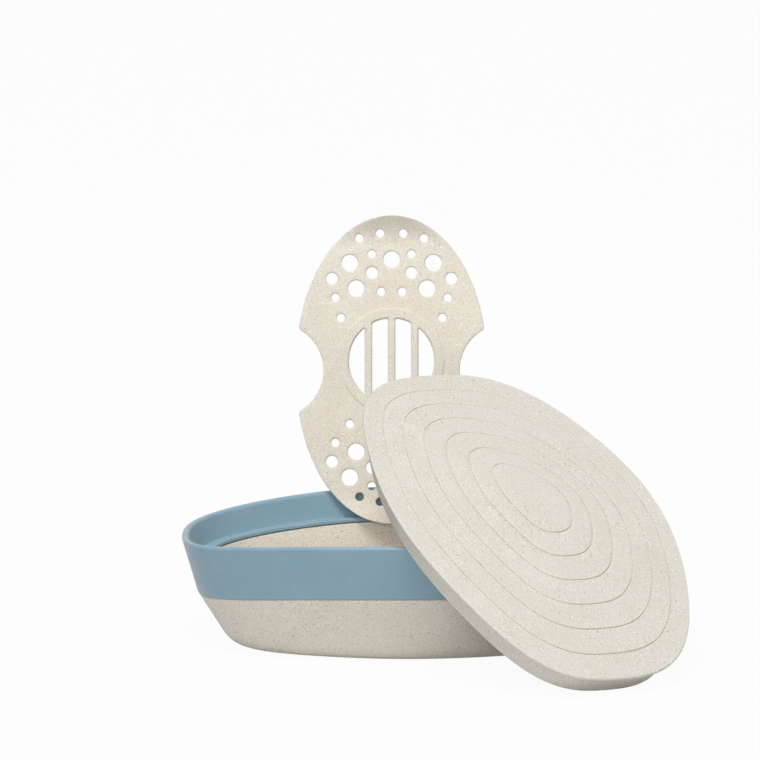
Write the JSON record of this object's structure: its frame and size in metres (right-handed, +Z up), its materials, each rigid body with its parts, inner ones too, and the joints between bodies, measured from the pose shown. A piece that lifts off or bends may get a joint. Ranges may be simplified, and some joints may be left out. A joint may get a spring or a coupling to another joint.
{
  "type": "shampoo bar case",
  "caption": "Oval travel case for a solid shampoo bar, with a soft sealing band round the tray's rim, a perforated drain insert and a push-on lid, shown open.",
  "frame": {"origin": "middle of the tray's flat foot, on the surface it stands on", "axes": "+Z up, +X along the tray's long side, +Y towards the rim that the insert leans on; the lid leans on the opposite rim"},
  "size_m": [0.1261, 0.1173, 0.0999],
  "materials": {
    "base_tray": "matte, speckled with fine plant fibre",
    "sealing_band": "satin silicone",
    "drain_insert": "matte, speckled with fine plant fibre",
    "lid": "matte, speckled with fine plant fibre"
  },
  "bodies": {
    "base": {"base_tray": "base_tray", "sealing_band": "sealing_band"},
    "insert": {"drain_insert": "drain_insert"},
    "lid": {"lid": "lid"}
  },
  "joints": [
    {"name": "lid_lift", "type": "slide", "parent": "base", "child": "lid", "axis": [0, 0, 1], "range_m": [0, 0.06]},
    {"name": "insert_lift", "type": "slide", "parent": "base", "child": "insert", "axis": [0, 0.2419, 0.9703], "range_m": [0, 0.06]}
  ]
}
